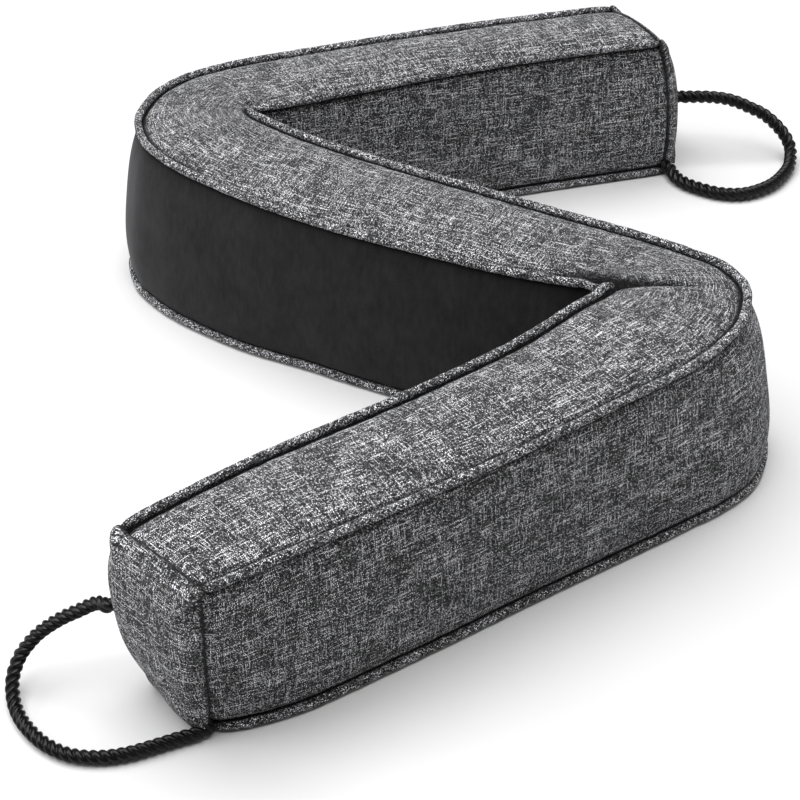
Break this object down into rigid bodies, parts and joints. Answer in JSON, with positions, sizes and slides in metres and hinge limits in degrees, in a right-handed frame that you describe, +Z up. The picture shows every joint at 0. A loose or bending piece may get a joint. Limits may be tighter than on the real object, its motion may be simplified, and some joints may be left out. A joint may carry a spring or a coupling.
{
  "type": "draught excluder",
  "caption": "Long filled cushion of box section, bent into a zigzag, with piped edges, a black loop-cloth side and rope handles at its ends, laid at a door's foot against draughts.",
  "frame": {"origin": "on the floor, under the middle of the folded cushion's box, handles left out", "axes": "+Y along the folded cushion's length, +X across it towards the rear handle, +Z up"},
  "size_m": [0.4296, 0.5594, 0.1003],
  "materials": {
    "grey_weave": "charcoal and white heather weave",
    "black_loop": "matt black loop pile",
    "black_rope": "black satin yarn, laid in strands"
  },
  "bodies": {
    "root": {"filled_body": "grey_weave", "top_panel": "grey_weave", "side_panel_grey": "grey_weave", "end_panel_front": "grey_weave", "end_panel_rear": "grey_weave", "piping_top_loop": "grey_weave", "piping_base_loop": "grey_weave", "piping_top_grey": "grey_weave", "piping_base_grey": "grey_weave", "side_panel_loop": "black_loop", "rope_handle_front": "black_rope", "rope_handle_rear": "black_rope"}
  },
  "joints": []
}
